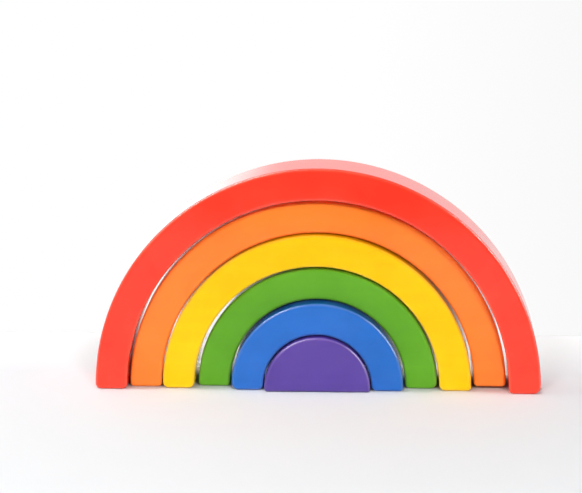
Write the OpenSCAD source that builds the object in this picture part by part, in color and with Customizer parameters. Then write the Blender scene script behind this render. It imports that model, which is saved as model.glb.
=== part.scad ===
// Rainbow stacker: five wooden arches nested over a solid half disc, all loose and standing on the floor.
// Millimetres. X is the width, Y is the depth with the front at -Y, Z is up from the floor.
// The origin is the middle of the half disc's underside.

/* [Blocks] */
// Radius of the half disc in the middle
core_radius = 23.9; // [14:0.1:36]
// Width of every arch, measured from its inner curve to its outer curve
band_width = 14.4; // [10.5:0.1:20]
// Depth of every block from front to back
block_depth = 30; // [20:0.5:45]
// Height of the centre of the curves above the floor
leg_height = 1.1; // [1:0.1:2.4]
// How much shorter the feet of the orange arch are sanded
orange_trim = 0.4; // [0:0.1:0.7]
// How far the right foot of the orange arch, which is sanded shorter still, stands clear of the floor
orange_foot_lift = 1.2; // [0:0.1:2]

/* [Sanded edges] */
// Round-over along the front and back edges
edge_round = 1.4; // [0.8:0.1:1.5]
// Rounding of the corners at the feet of the arches, seen from the front
foot_round = 2.2; // [1.6:0.1:4.8]
// Rounding of the corners at the foot of the half disc, seen from the front
core_foot_round = 1.6; // [1.6:0.1:3]

/* [Nesting clearances] */
// Clearance between the half disc and the blue arch
blue_clearance = 0.5; // [0.5:0.1:2]
// Clearance between the blue arch and the green arch
green_clearance = 0.8; // [0.5:0.1:2]
// Clearance between the green arch and the yellow arch
yellow_clearance = 1.2; // [0.5:0.1:2]
// Clearance between the yellow arch and the orange arch
orange_clearance = 0.9; // [0.5:0.1:2]
// Clearance between the orange arch and the red arch
red_clearance = 0.9; // [0.5:0.1:2]

/* [Where each block stands] */
// How far the blue arch stands behind the half disc
blue_setback = 2.9; // [0:0.1:12]
// How far the green arch stands behind the half disc
green_setback = 8.8; // [0:0.1:12]
// How far the yellow arch stands behind the half disc
yellow_setback = 4.7; // [0:0.1:12]
// How far the orange arch stands behind the half disc
orange_setback = 7.8; // [0:0.1:12]
// How far the red arch stands behind the half disc
red_setback = 1.3; // [0:0.1:12]
// Share of its clearance by which the blue arch stands to the right of the half disc
blue_side_share = 0.1; // [-0.45:0.05:0.45]
// Share of its clearance by which the green arch stands to the right of the blue arch
green_side_share = 0.3; // [-0.45:0.05:0.45]
// Share of its clearance by which the yellow arch stands to the right of the green arch
yellow_side_share = -0.4; // [-0.45:0.05:0.45]
// Share of its clearance by which the orange arch stands to the right of the yellow arch
orange_side_share = 0.25; // [-0.45:0.05:0.45]
// Share of its clearance by which the red arch stands to the right of the orange arch
red_side_share = 0.3; // [-0.45:0.05:0.45]
// Share of its clearance by which the blue arch's ends turn on the half disc, right foot forward
blue_turn_share = 0.2; // [-0.5:0.05:0.5]
// Share of its clearance by which the green arch's ends turn on the blue arch, right foot forward
green_turn_share = 0.3; // [-0.5:0.05:0.5]
// Share of its clearance by which the yellow arch's ends turn on the green arch, right foot forward
yellow_turn_share = -0.15; // [-0.5:0.05:0.5]
// Share of its clearance by which the orange arch's ends turn on the yellow arch, right foot forward
orange_turn_share = -0.2; // [-0.5:0.05:0.5]
// Share of its clearance by which the red arch's ends turn on the orange arch, right foot forward
red_turn_share = 0.35; // [-0.5:0.05:0.5]

/* [Hidden] */
$fn = 96;

half_depth = block_depth / 2;
half_turn = 180;
quarter_turn = 90;

// Cuts run past the faces they pass through by this much
overrun = 1;

// The rounded foot shape stands this far outside the band, so that their curved faces cross cleanly
foot_margin = 0.03;
foot_half = half_depth + foot_margin;
function foot_top(corner) = corner + foot_margin;

// Centre of the orange arch's curves above the floor
orange_leg = leg_height - orange_trim;

// How far an inner curve leans in at a height above its centre
function lean(inner, rise) = inner - sqrt(inner * inner - rise * rise);

// Curves of each block, from the middle outwards
blue_inner = core_radius + blue_clearance;
blue_outer = blue_inner + band_width;
green_inner = blue_outer + green_clearance;
green_outer = green_inner + band_width;
yellow_inner = green_outer + yellow_clearance;
yellow_outer = yellow_inner + band_width;
orange_inner = yellow_outer + orange_clearance;
orange_outer = orange_inner + band_width;
red_inner = orange_outer + red_clearance;
red_outer = red_inner + band_width;

// Sideways place of each arch, built up from the block inside it
blue_side = blue_side_share * blue_clearance;
green_side = blue_side + green_side_share * green_clearance;
yellow_side = green_side + yellow_side_share * yellow_clearance;
orange_side = yellow_side + orange_side_share * orange_clearance;
red_side = orange_side + red_side_share * red_clearance;

// Angle by which an arch turns when its front and back ends move sideways by a share of the clearance
function turn_of(share, clearance) = asin(share * clearance / half_depth);

blue_turn = turn_of(blue_turn_share, blue_clearance);
green_turn = blue_turn + turn_of(green_turn_share, green_clearance);
yellow_turn = green_turn + turn_of(yellow_turn_share, yellow_clearance);
orange_turn = yellow_turn + turn_of(orange_turn_share, orange_clearance);
red_turn = orange_turn + turn_of(red_turn_share, red_clearance);

// Cross-section of a band with all four edges rounded over
module band_section(inner, outer, half) {
    translate([inner, edge_round - half])
        square([outer - inner, 2 * (half - edge_round)]);
    translate([inner + edge_round, -half])
        square([outer - inner - 2 * edge_round, 2 * half]);
    for (x = [inner + edge_round, outer - edge_round])
        for (y = [edge_round - half, half - edge_round])
            translate([x, y])
                circle(r = edge_round);
}

// Cross-section from an axis out to a rim, with the rim's two edges rounded over
module rim_section(rim, half) {
    intersection() {
        translate([0, -half])
            square([rim, 2 * half]);
        band_section(-rim, rim, half);
    }
}

// Stands a shape drawn in the XY plane up, so that its Y becomes height and its Z becomes depth
module stand() {
    rotate([quarter_turn, 0, 0])
        children();
}

// Draws a section straight down from a height
module hang(top, length) {
    translate([0, 0, top])
        mirror([0, 0, 1])
            linear_extrude(length)
                children();
}

// Quarter of a rounded disc that makes a corner of a foot
module foot_corner(x, start, corner) {
    translate([x, 0, corner])
        stand()
            rotate([0, 0, start])
                rotate_extrude(angle = quarter_turn)
                    rim_section(corner, foot_half);
}

// Flat stretch of the underside between two foot corners, with its front and back edges rounded over
module sole(from, to, corner) {
    translate([from, 0, corner])
        rotate([quarter_turn, 0, quarter_turn])
            linear_extrude(to - from)
                rotate(-quarter_turn)
                    rim_section(corner, foot_half);
}

// Rounded foot shape between two sides, standing a little outside them and outside the front and back
module foot_shape(left, right, corner) {
    from = left - foot_margin;
    to = right + foot_margin;
    foot_corner(from + corner, half_turn, corner);
    foot_corner(to - corner, -quarter_turn, corner);
    sole(from + corner, to - corner, corner);
    translate([0, 0, corner])
        linear_extrude(overrun)
            band_section(from, to, foot_half);
}

// What sanding takes off one foot: all that lies outside the rounded foot shape, down to below the floor
module foot_waste(left, right, corner, lift = 0) {
    below = lift + 2 * overrun;
    translate([0, 0, lift])
        difference() {
            translate([left - overrun, -half_depth - overrun, -below])
                cube([right - left + 2 * overrun, block_depth + 2 * overrun, foot_top(corner) + below]);
            foot_shape(left, right, corner);
        }
}

// One arch, centred over the origin, with the centre of its curves at the height of its legs.
// Its right foot may stand clear of the floor by a lift.
module arch(inner, outer, leg, right_lift = 0) {
    lifts = [right_lift, 0];
    difference() {
        union() {
            translate([0, 0, leg])
                stand()
                    rotate_extrude(angle = half_turn)
                        band_section(inner, outer, half_depth);
            for (side = [0, 1])
                mirror([side, 0, 0])
                    hang(leg, leg + overrun)
                        band_section(inner, outer, half_depth);
        }
        for (side = [0, 1])
            mirror([side, 0, 0])
                foot_waste(inner - lean(inner, foot_top(foot_round) + lifts[side] - leg), outer, foot_round,
                    lifts[side]);
    }
}

// The half disc, centred over the origin
module half_disc(outer) {
    difference() {
        union() {
            translate([0, 0, leg_height])
                stand()
                    rotate_extrude(angle = half_turn)
                        rim_section(outer, half_depth);
            hang(leg_height, leg_height + overrun)
                band_section(-outer, outer, half_depth);
        }
        foot_waste(-outer, outer, core_foot_round);
    }
}

// Stands a block in its place on the floor
module placed(side, setback, turn) {
    translate([side, setback, 0])
        rotate([0, 0, -turn])
            children();
}

module purple_half_disc() {
    color([0.41, 0.32, 0.65])
        half_disc(core_radius);
}

module blue_arch() {
    color([0.22, 0.48, 0.83])
        placed(blue_side, blue_setback, blue_turn)
            arch(blue_inner, blue_outer, leg_height);
}

module green_arch() {
    color([0.42, 0.69, 0.18])
        placed(green_side, green_setback, green_turn)
            arch(green_inner, green_outer, leg_height);
}

module yellow_arch() {
    color([0.99, 0.82, 0.09])
        placed(yellow_side, yellow_setback, yellow_turn)
            arch(yellow_inner, yellow_outer, leg_height);
}

module orange_arch() {
    color([1, 0.55, 0.21])
        placed(orange_side, orange_setback, orange_turn)
            arch(orange_inner, orange_outer, orange_leg, orange_foot_lift);
}

module red_arch() {
    color([1, 0.26, 0.19])
        placed(red_side, red_setback, red_turn)
            arch(red_inner, red_outer, leg_height);
}

purple_half_disc();
blue_arch();
green_arch();
yellow_arch();
orange_arch();
red_arch();
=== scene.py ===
import math

import bmesh
import bpy
from mathutils import Matrix, Vector


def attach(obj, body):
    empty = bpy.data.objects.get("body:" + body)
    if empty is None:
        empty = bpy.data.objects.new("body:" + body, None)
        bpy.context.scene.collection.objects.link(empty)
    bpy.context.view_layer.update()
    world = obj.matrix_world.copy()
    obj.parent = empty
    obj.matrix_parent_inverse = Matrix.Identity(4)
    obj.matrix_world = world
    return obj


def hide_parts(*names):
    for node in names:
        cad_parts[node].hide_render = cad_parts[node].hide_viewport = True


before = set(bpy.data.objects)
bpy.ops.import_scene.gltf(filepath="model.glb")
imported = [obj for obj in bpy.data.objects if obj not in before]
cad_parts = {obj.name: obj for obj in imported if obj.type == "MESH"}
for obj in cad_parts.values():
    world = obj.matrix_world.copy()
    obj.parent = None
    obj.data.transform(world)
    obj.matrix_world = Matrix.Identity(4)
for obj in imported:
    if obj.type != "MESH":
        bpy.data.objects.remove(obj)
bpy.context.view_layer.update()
print("frame loaded")

# all lengths in metres, in the frame of the solids
blocks = {
    "depth": 0.030,
    "edgeRound": 0.0014,       # round-over along the front and back edges
    "discFootRound": 0.0016,   # corners at the foot of the half disc
    "arcSteps": 120,
    "edgeSteps": 6,
    "footSteps": 8,
    "sharp": 1.2,              # edges that turn by more than this, in radians, are rounded over
    "weld": 1e-7,              # points closer than this become one
    "flatWeight": 80,          # how far the flat faces lead the shading
}


def startAngle(radius, leg, corner):
    # the curve stops here, high enough for the foot corner to be rounded below it
    return math.asin((corner + blocks["edgeRound"] - leg) / radius)


def roundFoot(bm, vert, corner):
    # a corner at the floor, seen from the front
    bmesh.ops.bevel(bm, geom=[vert], offset=corner, offset_type="OFFSET", segments=blocks["footSteps"],
                    profile=0.5, affect="VERTICES", material=-1, clamp_overlap=True)


def weld(bm):
    bmesh.ops.remove_doubles(bm, verts=bm.verts[:], dist=blocks["weld"])
    bmesh.ops.recalc_face_normals(bm, faces=bm.faces[:])


def thicken(bm):
    # pull the outline back into a board, then run the router round both faces
    bmesh.ops.recalc_face_normals(bm, faces=bm.faces[:])
    made = bmesh.ops.extrude_face_region(bm, geom=bm.faces[:], use_keep_orig=True)
    moved = [g for g in made["geom"] if isinstance(g, bmesh.types.BMVert)]
    bmesh.ops.translate(bm, verts=moved, vec=(0, blocks["depth"], 0))
    weld(bm)
    rims = [e for e in bm.edges if len(e.link_faces) == 2 and e.calc_face_angle() > blocks["sharp"]]
    bmesh.ops.bevel(bm, geom=rims, offset=blocks["edgeRound"], offset_type="OFFSET",
                    segments=blocks["edgeSteps"], profile=0.5, affect="EDGES", material=-1,
                    clamp_overlap=False, loop_slide=True)
    weld(bm)


def settle(bm, name, piece):
    # stand the block where it is in the set and make it an object
    bm.normal_update()
    rim = bm.verts.layers.float.new("rim")   # 1 in the middle of a rounded edge, 0 on the flats
    for v in bm.verts:
        v[rim] = 2 * abs(v.normal.y) * math.sqrt(max(0.0, 1 - v.normal.y ** 2))
    turned = Matrix.Rotation(-math.radians(piece["turn"]), 4, "Z")
    place = Matrix.Translation((piece["side"], piece["back"], 0)) @ turned
    bmesh.ops.transform(bm, matrix=place, verts=bm.verts[:])
    mesh = bpy.data.meshes.new(name)
    for f in bm.faces:
        f.smooth = True
    bm.to_mesh(mesh)
    bm.free()
    obj = bpy.data.objects.new(name, mesh)
    bpy.context.scene.collection.objects.link(obj)
    keen = obj.modifiers.new("flatFaces", "WEIGHTED_NORMAL")
    keen.mode = "FACE_AREA"
    keen.weight = blocks["flatWeight"]
    obj.data.materials.append(piece["lacquer"])
    return obj


def archBlock(name, piece):
    bm = bmesh.new()
    y = -blocks["depth"] / 2
    leg = piece["leg"]
    lift = piece["lift"]   # of the right foot only
    leftOuter, leftInner, rightInner, rightOuter = piece["corners"]
    right = startAngle(piece["inner"], leg - lift, max(rightInner, rightOuter))
    left = startAngle(piece["inner"], leg, max(leftInner, leftOuter))
    ends = []
    for r in (piece["inner"], piece["outer"]):
        ends.append(bm.verts.new((r * math.cos(right), y, leg + r * math.sin(right))))
    first = bm.edges.new(ends)
    swept = bmesh.ops.spin(bm, geom=ends + [first], cent=(0, 0, leg), axis=(0, -1, 0),
                           angle=math.pi - right - left, steps=blocks["arcSteps"], use_duplicate=False)
    last = [g for g in swept["geom_last"] if isinstance(g, bmesh.types.BMEdge)]
    feet = []
    for end in [first] + last:
        drawn = bmesh.ops.extrude_edge_only(bm, edges=[end])
        for v in (g for g in drawn["geom"] if isinstance(g, bmesh.types.BMVert)):
            radius = math.hypot(v.co.x, v.co.z - leg)
            v.co = (math.copysign(radius, v.co.x), y, lift if v.co.x > 0 else 0)
            feet.append(v)
    feet.sort(key=lambda v: v.co.x)
    for vert, corner in zip(feet, piece["corners"]):
        roundFoot(bm, vert, corner)
    thicken(bm)
    return settle(bm, name, piece)


def halfDisc(name, piece):
    bm = bmesh.new()
    y = -blocks["depth"] / 2
    leg = piece["leg"]
    a = startAngle(piece["outer"], leg, blocks["discFootRound"])
    start = bm.verts.new((piece["outer"] * math.cos(a), y, leg + piece["outer"] * math.sin(a)))
    bmesh.ops.spin(bm, geom=[start], cent=(0, 0, leg), axis=(0, -1, 0), angle=math.pi - 2 * a,
                   steps=blocks["arcSteps"], use_duplicate=False)
    ends = [v for v in bm.verts if len(v.link_edges) == 1]
    feet = []
    for end in ends:
        drawn = bmesh.ops.extrude_vert_indiv(bm, verts=[end])["verts"][0]
        drawn.co = (math.copysign(piece["outer"], end.co.x), y, 0)
        feet.append(drawn)
    bm.edges.new(feet)
    bmesh.ops.contextual_create(bm, geom=bm.edges[:])
    for vert in feet:
        roundFoot(bm, vert, blocks["discFootRound"])
    thicken(bm)
    return settle(bm, name, piece)


def srgb(r, g, b):
    # screen values 0 to 255 as the linear colour that shaders take
    return tuple(c / 255 / 12.92 if c < 11 else ((c / 255 + 0.055) / 1.055) ** 2.4 for c in (r, g, b)) + (1,)


def nodeAdder(tree):
    def add(kind, wires, **settings):
        # one node, with numbers or other nodes' outputs on its sockets
        node = tree.nodes.new("ShaderNode" + kind)
        for key, value in settings.items():
            setattr(node, key, value)
        for socket, value in wires.items():
            if isinstance(value, bpy.types.NodeSocket):
                tree.links.new(value, node.inputs[socket])
            else:
                node.inputs[socket].default_value = value
        return node
    return add


def ramp(add, value, start, end, low=0.0, high=1.0):
    # goes from low to high while the value goes from start to end
    wires = {"Value": value, "From Min": start, "From Max": end, "To Min": low, "To Max": high}
    return add("MapRange", wires).outputs["Result"]


def times(add, value, factor):
    return add("Math", {0: value, 1: factor}, operation="MULTIPLY").outputs["Value"]


def plus(add, value, other):
    return add("Math", {0: value, 1: other}, operation="ADD").outputs["Value"]


# opaque gloss lacquer, sprayed over sanded wood and rubbed thin along the edges
finish = {
    "thickRough": 0.08,    # roughness where the coat lies thick
    "thinRough": 0.15,     # and where it lies thin
    "edgeRough": 0.18,     # duller still along the edges
    "clouds": 40,          # patches of thicker and thinner coat
    "cloudDetail": 3,
    "cloudTint": 0.05,     # how far they go lighter and darker
    "grain": (14, 170, 170),   # the board's grain runs along the width
    "grainDetail": 4,
    "grainRough": 0.6,
    "grainTint": 0.025,
    "edgeTint": 0.10,      # bare wood shining through the thin coat on the edges
    "wornLeast": 0.4,      # share of it where the coat is thickest
    "wood": (0.80, 0.62, 0.40, 1),
    "wave": 60,            # slow unevenness of the sanded faces
    "waveHeight": 0.000006,
    "peel": 900,           # fine orange peel
    "peelHeight": 0.000001,
    "reliefDetail": 1,     # of both
    "nibs": 150,           # dust caught in the coat
    "nibSize": 0.08,       # radius, in cells of its pattern
    "nibHeight": 0.00006,
    "nibShare": 0.97,      # most places have none
    "flatBelow": 0.05,     # and none lies on a rounded edge
    "noise": (0.35, 0.65),     # where most of a noise's values lie
}


def lacquer(name, colour, shift, gloss=0.42):
    mat = bpy.data.materials.new(name)
    mat.use_nodes = True
    tree = mat.node_tree
    add = nodeAdder(tree)
    shader = tree.nodes["Principled BSDF"]
    shader.inputs["Specular IOR Level"].default_value = gloss

    def spread(value, low, high):
        # middle of a noise, stretched out to the range between two numbers
        return ramp(add, value, *finish["noise"], low, high)

    board = add("TexCoord", {}).outputs["Object"]
    place = add("Mapping", {"Vector": board, "Location": shift}).outputs["Vector"]
    along = add("Mapping", {"Vector": place, "Scale": finish["grain"]}).outputs["Vector"]
    clouds = add("TexNoise", {"Vector": place, "Scale": finish["clouds"],
                              "Detail": finish["cloudDetail"]}).outputs[0]
    grain = add("TexNoise", {"Vector": along, "Scale": 1, "Detail": finish["grainDetail"],
                             "Roughness": finish["grainRough"]}).outputs[0]
    wave = add("TexNoise", {"Vector": place, "Scale": finish["wave"],
                            "Detail": finish["reliefDetail"]}).outputs[0]
    peel = add("TexNoise", {"Vector": place, "Scale": finish["peel"],
                            "Detail": finish["reliefDetail"]}).outputs[0]
    rim = add("Attribute", {}, attribute_name="rim").outputs["Fac"]
    speck = add("TexVoronoi", {"Vector": place, "Scale": finish["nibs"]})
    few = add("Math", {0: speck.outputs["Color"], 1: finish["nibShare"]},
              operation="GREATER_THAN").outputs["Value"]
    bead = ramp(add, speck.outputs["Distance"], finish["nibSize"], 0.0)
    flat = add("Math", {0: rim, 1: finish["flatBelow"]}, operation="LESS_THAN").outputs["Value"]
    nib = times(add, times(add, bead, few), flat)

    # colour: patches and grain a little lighter or darker, wood shining through on the edges
    light = plus(add, spread(clouds, 1 - finish["cloudTint"], 1 + finish["cloudTint"]),
                 spread(grain, -finish["grainTint"], finish["grainTint"]))
    toned = add("HueSaturation", {"Color": colour, "Value": light}).outputs["Color"]
    worn = times(add, times(add, rim, spread(clouds, finish["wornLeast"], 1.0)), finish["edgeTint"])
    blend = add("Mix", {0: worn, 6: toned, 7: finish["wood"]}, data_type="RGBA").outputs[2]
    tree.links.new(blend, shader.inputs["Base Color"])

    # gloss: duller where the coat is thin
    dull = plus(add, spread(clouds, finish["thickRough"], finish["thinRough"]),
                times(add, rim, finish["edgeRough"]))
    tree.links.new(dull, shader.inputs["Roughness"])

    # heights in metres
    faces = plus(add, times(add, wave, finish["waveHeight"]), times(add, peel, finish["peelHeight"]))
    height = plus(add, faces, times(add, nib, finish["nibHeight"]))
    relief = add("Bump", {"Height": height, "Distance": 1.0, "Strength": 1.0}).outputs["Normal"]
    tree.links.new(relief, shader.inputs["Normal"])
    return mat


# leg is the height of the curves' centre and lift that of the right foot, turn is in degrees with the
# right foot forward, and corners are the radii at the feet from left to right
redArch = {
    "inner": 0.0858, "outer": 0.1002, "leg": 0.0011, "lift": 0,
    "side": 0.000305, "back": 0.0013, "turn": 1.1269,
    "corners": (0.0025, 0.0023, 0.0024, 0.0036),
    "lacquer": lacquer("redLacquer", srgb(254, 56, 35), (0.0, 0.3, 0.1)),
}
orangeArch = {
    "inner": 0.0705, "outer": 0.0849, "leg": 0.0007, "lift": 0.0012,
    "side": 0.000035, "back": 0.0078, "turn": -0.0764,
    "corners": (0.0019, 0.0018, 0.0018, 0.0018),
    "lacquer": lacquer("orangeLacquer", srgb(254, 132, 38), (0.7, 0.2, 0.5)),
}
yellowArch = {
    "inner": 0.0552, "outer": 0.0696, "leg": 0.0011, "lift": 0,
    "side": -0.000190, "back": 0.0047, "turn": 0.6112,
    "corners": (0.0028, 0.0029, 0.0028, 0.0019),
    "lacquer": lacquer("yellowLacquer", srgb(253, 201, 3), (0.4, 0.8, 0.9), gloss=0.14),
}
greenArch = {
    "inner": 0.0396, "outer": 0.0540, "leg": 0.0011, "lift": 0,
    "side": 0.000290, "back": 0.0088, "turn": 1.2987,
    "corners": (0.0019, 0.0017, 0.0023, 0.0030),
    "lacquer": lacquer("greenLacquer", srgb(92, 168, 20), (0.2, 0.6, 0.3), gloss=0.35),
}
blueArch = {
    "inner": 0.0244, "outer": 0.0388, "leg": 0.0011, "lift": 0,
    "side": 0.000050, "back": 0.0029, "turn": 0.382,
    "corners": (0.0034, 0.0025, 0.0026, 0.0017),
    "lacquer": lacquer("blueLacquer", srgb(8, 105, 199), (0.9, 0.1, 0.7)),
}
purpleDisc = {
    "outer": 0.0239, "leg": 0.0011, "side": 0.0, "back": 0.0, "turn": 0.0,
    "lacquer": lacquer("purpleLacquer", srgb(85, 59, 155), (0.5, 0.5, 0.2)),
}

for colour, piece in (("red", redArch), ("orange", orangeArch), ("yellow", yellowArch), ("green", greenArch),
                      ("blue", blueArch)):
    obj = archBlock(colour + "Arch", piece)
    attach(obj, colour)
    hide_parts(colour + "_arch")
disc = halfDisc("purpleHalfDisc", purpleDisc)
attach(disc, "purple")
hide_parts("purple_half_disc")
print("blocks made")

# floor, a sheet of paper that ends a little behind the blocks
sheet = {
    "left": -1.2, "right": 1.2, "front": -0.42, "back": 0.101,
    "tone": (0.73, 0.745, 0.76, 1),
    # paler colour of the painted light on the far floor
    "paintedLightTone": (0.91, 0.91, 0.92, 1),
    "paintedLightFrom": 0.02, "paintedLightTo": 0.10,   # painted light: the paper is painted paler towards the back edge, where it meets the backdrop
    "roughness": 0.85,
    "gloss": 0.1,
}
floorMesh = bpy.data.meshes.new("floor")
bm = bmesh.new()
bmesh.ops.create_grid(bm, x_segments=1, y_segments=1, size=0.5)
width = sheet["right"] - sheet["left"]
length = sheet["back"] - sheet["front"]
middle = ((sheet["right"] + sheet["left"]) / 2, (sheet["back"] + sheet["front"]) / 2, 0)
bmesh.ops.scale(bm, vec=(width, length, 1), verts=bm.verts[:])
bmesh.ops.translate(bm, vec=middle, verts=bm.verts[:])
bm.to_mesh(floorMesh)
bm.free()
floor = bpy.data.objects.new("floor", floorMesh)
bpy.context.scene.collection.objects.link(floor)
paper = bpy.data.materials.new("floorPaper")
paper.use_nodes = True
paperShader = paper.node_tree.nodes["Principled BSDF"]
paperShader.inputs["Roughness"].default_value = sheet["roughness"]
paperShader.inputs["Specular IOR Level"].default_value = sheet["gloss"]
add = nodeAdder(paper.node_tree)
spot = add("SeparateXYZ", {"Vector": add("TexCoord", {}).outputs["Object"]})
# painted light: the floor's colour goes paler towards the back, in place of light falling there
paintedLightShare = ramp(add, spot.outputs["Y"], sheet["paintedLightFrom"], sheet["paintedLightTo"])
paperWithPaintedLight = add("Mix", {0: paintedLightShare, 6: sheet["tone"], 7: sheet["paintedLightTone"]}, data_type="RGBA").outputs[2]
paper.node_tree.links.new(paperWithPaintedLight, paperShader.inputs["Base Color"])
floorMesh.materials.append(paper)
print("floor laid")

# white backdrop low down behind the blocks, a dim room everywhere else
room = {
    "backdrop": 1.0, "dim": 0.10,
    "behind": (0.0, 0.4),                # the backdrop comes in between these directions along Y
    "low": (0.70, 0.40),                 # and these along Z
    "glare": (-0.10, -0.18, 1.0, 2.2),   # its light on the blocks, brighter to the left
    "seen": (0.0, 0.10, 1.0, 0.94),      # the backdrop in the picture, a touch darker to the right
}
world = bpy.data.worlds.new("studio")
bpy.context.scene.world = world
world.use_nodes = True
add = nodeAdder(world.node_tree)
way = add("SeparateXYZ", {"Vector": add("TexCoord", {}).outputs["Generated"]}).outputs
both = times(add, ramp(add, way["Y"], *room["behind"]), ramp(add, way["Z"], *room["low"]))
tone = ramp(add, both, 0.0, 1.0, room["dim"], room["backdrop"])
bright = times(add, tone, ramp(add, way["X"], *room["glare"]))
seen = ramp(add, way["X"], *room["seen"])
ray = add("LightPath", {}).outputs["Is Camera Ray"]
strength = add("Mix", {"Factor": ray, "A": bright, "B": seen}).outputs["Result"]
back = world.node_tree.nodes["Background"]
back.inputs["Color"].default_value = (1, 1, 1, 1)
world.node_tree.links.new(strength, back.inputs["Strength"])
bpy.context.scene.view_settings.view_transform = "Standard"

boxAim = Vector((0, 0, 0.04))   # all lights point at the middle of the set


def softbox(name, place, size, power, part):
    # part says whether it lights the colours or only shows in the gloss
    light = bpy.data.lights.new(name, "AREA")
    light.shape = "RECTANGLE"
    light.size = size[0]
    light.size_y = size[1]
    light.energy = power
    obj = bpy.data.objects.new(name, light)
    bpy.context.scene.collection.objects.link(obj)
    obj.location = place
    obj.rotation_euler = (boxAim - obj.location).to_track_quat("-Z", "Y").to_euler()
    obj.visible_diffuse = part == "diffuse"
    obj.visible_glossy = part == "gloss"


softbox("topBox", place=(-0.06, -0.08, 1.9), size=(0.3, 0.3), power=15, part="diffuse")
softbox("sideBox", place=(-0.75, -0.06, 0.45), size=(0.25, 0.25), power=2, part="diffuse")
softbox("rightBox", place=(0.7, -2.3, 1.26), size=(0.45, 0.3), power=31, part="diffuse")
softbox("leftBox", place=(-0.8, -2.25, 1.26), size=(0.45, 0.3), power=22, part="diffuse")
# narrow strips that only draw lines of light on the rounded edges
softbox("leftStrip", place=(-0.62, -0.09, 1.0), size=(0.08, 0.75), power=28, part="gloss")
softbox("rightStrip", place=(1.05, -0.16, 0.56), size=(0.08, 0.75), power=28, part="gloss")
print("lights set")

# camera, with angles in degrees and lens and sensor in millimetres
shot = {
    "distance": 1.02, "azimuth": 1.34, "height": 0.2600,
    "aim": (-0.01165, -0.015, 0.06665), "roll": -0.024,
    "lens": 142.85, "sensor": 36,
}
camData = bpy.data.cameras.new("camera")
camData.lens = shot["lens"]
camData.sensor_width = shot["sensor"]
camData.sensor_fit = "HORIZONTAL"
camera = bpy.data.objects.new("camera", camData)
bpy.context.scene.collection.objects.link(camera)
turn = math.radians(shot["azimuth"])
camera.location = (shot["distance"] * math.sin(turn), -shot["distance"] * math.cos(turn), shot["height"])
look = (Vector(shot["aim"]) - camera.location).to_track_quat("-Z", "Y")
roll = Matrix.Rotation(math.radians(shot["roll"]), 3, "Z").to_quaternion()
camera.rotation_euler = (look @ roll).to_euler()
bpy.context.scene.camera = camera
print("camera set")
